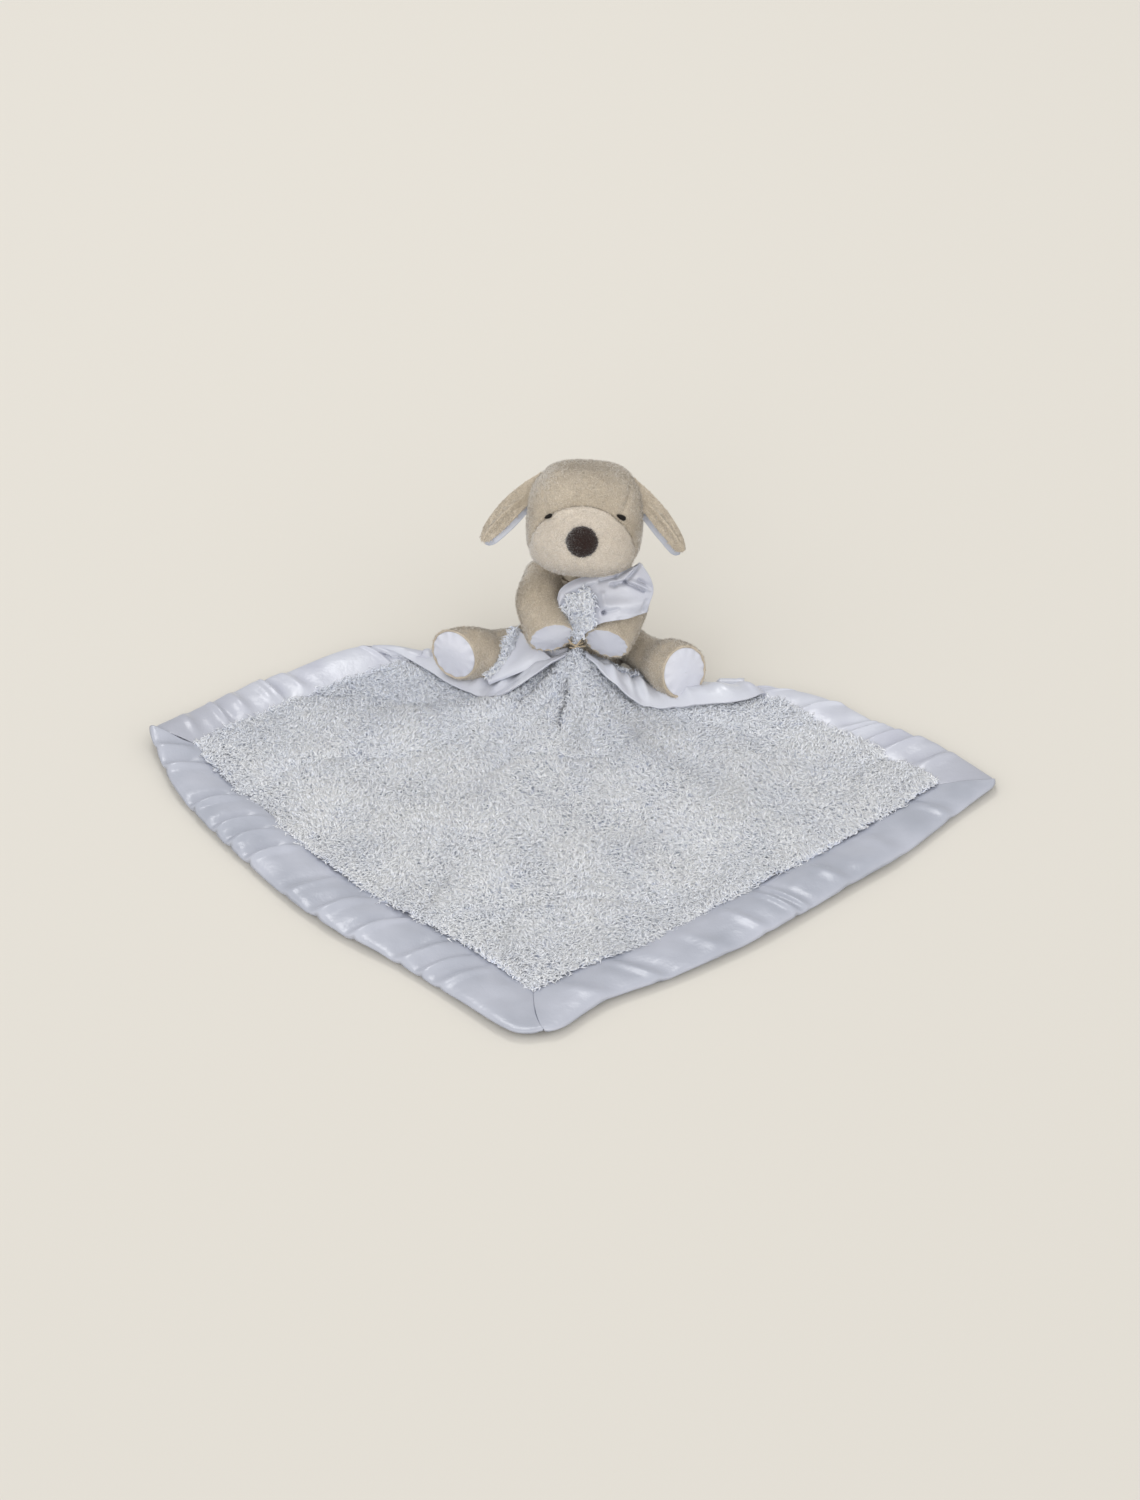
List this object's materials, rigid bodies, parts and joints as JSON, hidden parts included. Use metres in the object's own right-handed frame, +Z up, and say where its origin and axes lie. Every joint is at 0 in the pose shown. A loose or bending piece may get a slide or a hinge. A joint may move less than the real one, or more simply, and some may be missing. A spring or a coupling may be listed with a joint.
{
  "type": "comfort blanket lovey",
  "caption": "Sitting plush puppy that hugs a gathered corner of a square pile blanket with wide satin borders; soft head, ears, legs and tail that flex on their seams.",
  "frame": {"origin": "centre of the puppy's flat seat on the surface it sits on", "axes": "+Z up; -Y the way the puppy faces, over the blanket; +X to the right of someone looking at the puppy's face"},
  "size_m": [0.5017, 0.3879, 0.1475],
  "materials": {
    "velour_cover": "short brushed velour pile, matt",
    "muzzle_velour": "short brushed velour pile, a lighter beige, matt",
    "nose_velour": "dark brown brushed velour, matt",
    "thread_black": "embroidery thread, slight sheen",
    "thread_beige": "sewing thread",
    "satin_trim": "pale silver blue satin, soft sheen",
    "plush_pile": "silver blue curly chenille pile, matt",
    "fibre_fill": "loose polyester fibre, hidden"
  },
  "bodies": {
    "root": {"torso_cover": "velour_cover", "torso_filling": "fibre_fill", "left_arm_cover": "velour_cover", "left_arm_filling": "fibre_fill", "left_paw_pad": "satin_trim", "right_arm_cover": "velour_cover", "right_arm_filling": "fibre_fill", "right_paw_pad": "satin_trim", "plush_panel": "plush_pile", "border_front_left": "satin_trim", "border_front_right": "satin_trim", "border_back_left": "satin_trim", "border_back_right": "satin_trim", "held_corner_plush": "plush_pile", "held_corner_satin": "satin_trim", "tack_stitch": "thread_beige"},
    "neck": {"neck_stuffing": "fibre_fill"},
    "head": {"head_cover": "velour_cover", "muzzle_panel": "muzzle_velour", "head_filling": "fibre_fill", "nose": "nose_velour", "mouth_stitch": "thread_beige", "left_eye": "thread_black", "right_eye": "thread_black"},
    "left_ear": {"left_ear_velour": "velour_cover", "left_ear_lining": "satin_trim"},
    "right_ear": {"right_ear_velour": "velour_cover", "right_ear_lining": "satin_trim"},
    "left_leg": {"left_leg_cover": "velour_cover", "left_leg_filling": "fibre_fill", "left_sole": "satin_trim"},
    "right_leg": {"right_leg_cover": "velour_cover", "right_leg_filling": "fibre_fill", "right_sole": "satin_trim"},
    "tail": {"tail_cover": "velour_cover"}
  },
  "joints": [
    {"name": "head_turn", "type": "hinge", "parent": "root", "child": "neck", "pos_m": [0.0015, 0, 0.076], "axis": [0.0536, 0.3394, 0.9391], "range_deg": [-20, 8], "stiffness_Nm_per_rad": 0.5},
    {"name": "head_nod", "type": "hinge", "parent": "neck", "child": "head", "pos_m": [0.0015, 0, 0.076], "axis": [0.9975, -0.061, -0.0349], "range_deg": [-12, 0], "stiffness_Nm_per_rad": 1},
    {"name": "left_ear_flop", "type": "hinge", "parent": "head", "child": "left_ear", "pos_m": [-0.02989, 0.00534, 0.12714], "axis": [0.3466, 0.637, 0.6886], "range_deg": [-15, 45], "stiffness_Nm_per_rad": 0.03},
    {"name": "right_ear_flop", "type": "hinge", "parent": "head", "child": "right_ear", "pos_m": [0.03752, 0.00122, 0.12478], "axis": [0.2176, -0.6715, -0.7083], "range_deg": [-15, 45], "stiffness_Nm_per_rad": 0.03},
    {"name": "left_leg_lift", "type": "hinge", "parent": "root", "child": "left_leg", "pos_m": [-0.027, 0.003, 0.02], "axis": [-0.4249, 0.9052, 0], "range_deg": [0, 25], "stiffness_Nm_per_rad": 0.05},
    {"name": "right_leg_lift", "type": "hinge", "parent": "root", "child": "right_leg", "pos_m": [0.027, 0.003, 0.02], "axis": [-0.7479, -0.6638, 0], "range_deg": [0, 15], "stiffness_Nm_per_rad": 0.05},
    {"name": "tail_wag", "type": "hinge", "parent": "root", "child": "tail", "pos_m": [0, 0.02134, 0.015], "axis": [0, 0, 1], "range_deg": [-20, 20], "stiffness_Nm_per_rad": 0.02}
  ]
}
